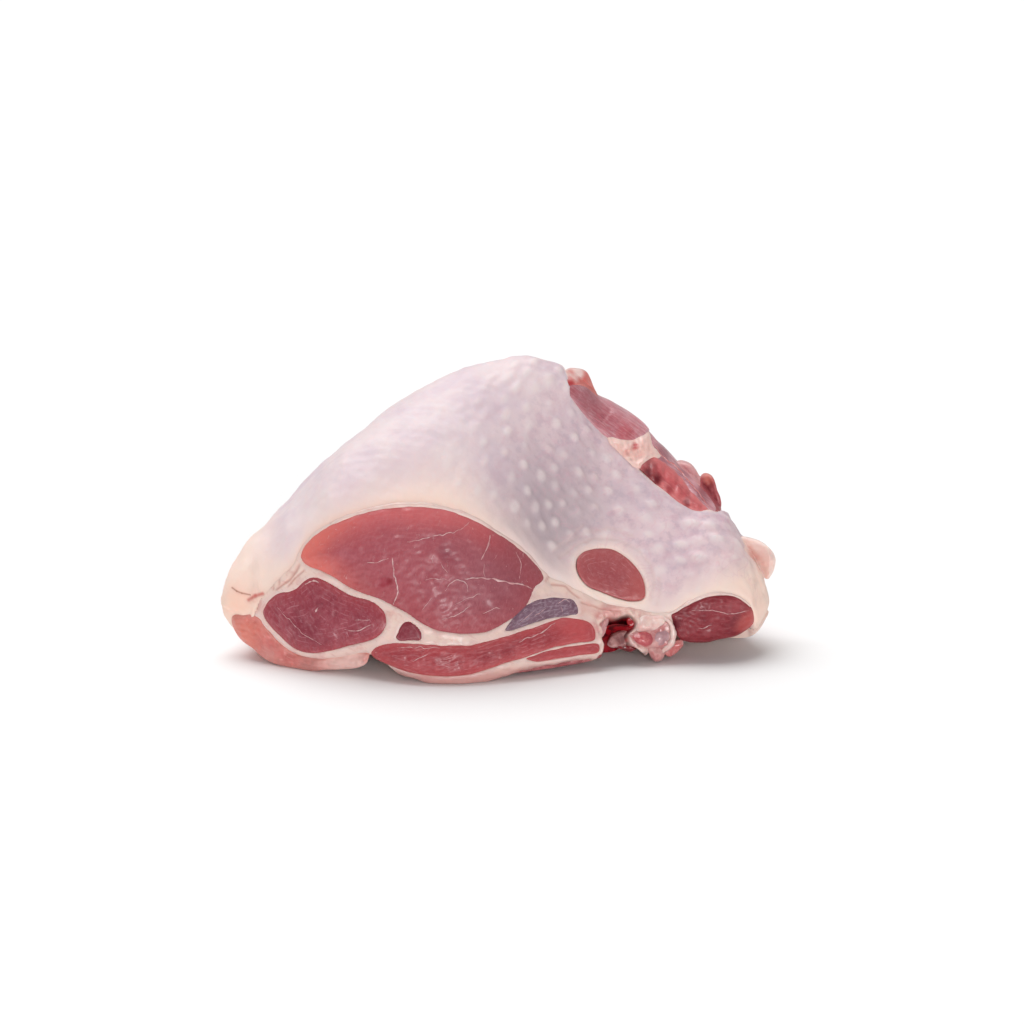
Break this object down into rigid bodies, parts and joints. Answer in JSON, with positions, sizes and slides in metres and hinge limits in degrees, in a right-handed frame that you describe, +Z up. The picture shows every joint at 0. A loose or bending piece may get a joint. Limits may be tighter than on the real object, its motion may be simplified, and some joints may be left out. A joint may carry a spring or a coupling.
{
  "type": "duck leg",
  "caption": "Raw duck leg joint with the skin on, lying on its boned side, with the cut muscles, fat and joint showing at the front.",
  "frame": {"origin": "middle of the joint's outline seen from above, on the surface that it lies on", "axes": "+X along the joint from its rounded nose to its broad end, +Y from the cut face to the back, +Z up"},
  "size_m": [0.136, 0.0849, 0.0691],
  "materials": {
    "skin": "pale lilac-white poultry skin with raised follicles, creamy along the cut, moist",
    "fat": "cream and pink fat and connective tissue, moist",
    "thigh_meat": "pink-red cut muscle with fine white flecks, moist gloss",
    "dark_meat": "wine-red cut muscle, moist gloss",
    "slate_meat": "grey-purple cut muscle with white flecks",
    "strip_meat": "bright pink-red cut muscle, moist gloss",
    "end_meat": "deep red cut muscle, wet gloss",
    "flap_meat": "salmon pink meat and membrane, moist",
    "back_meat": "purple-red muscle under a thin pale membrane",
    "cartilage": "pink and white gristle, wet gloss"
  },
  "bodies": {
    "root": {"skin": "skin", "fat_core": "fat", "thigh_muscle": "thigh_meat", "round_muscle": "dark_meat", "small_muscle": "dark_meat", "slate_muscle": "slate_meat", "under_muscle": "strip_meat", "under_lobe": "strip_meat", "oval_muscle": "thigh_meat", "end_muscle": "end_meat", "left_flap": "flap_meat", "top_lump": "flap_meat", "fat_patch": "fat", "red_strip": "strip_meat", "side_strip": "back_meat", "side_knob": "back_meat", "side_flap": "flap_meat", "back_meat": "back_meat", "joint_cartilage": "cartilage", "pink_tag": "flap_meat"}
  },
  "joints": []
}
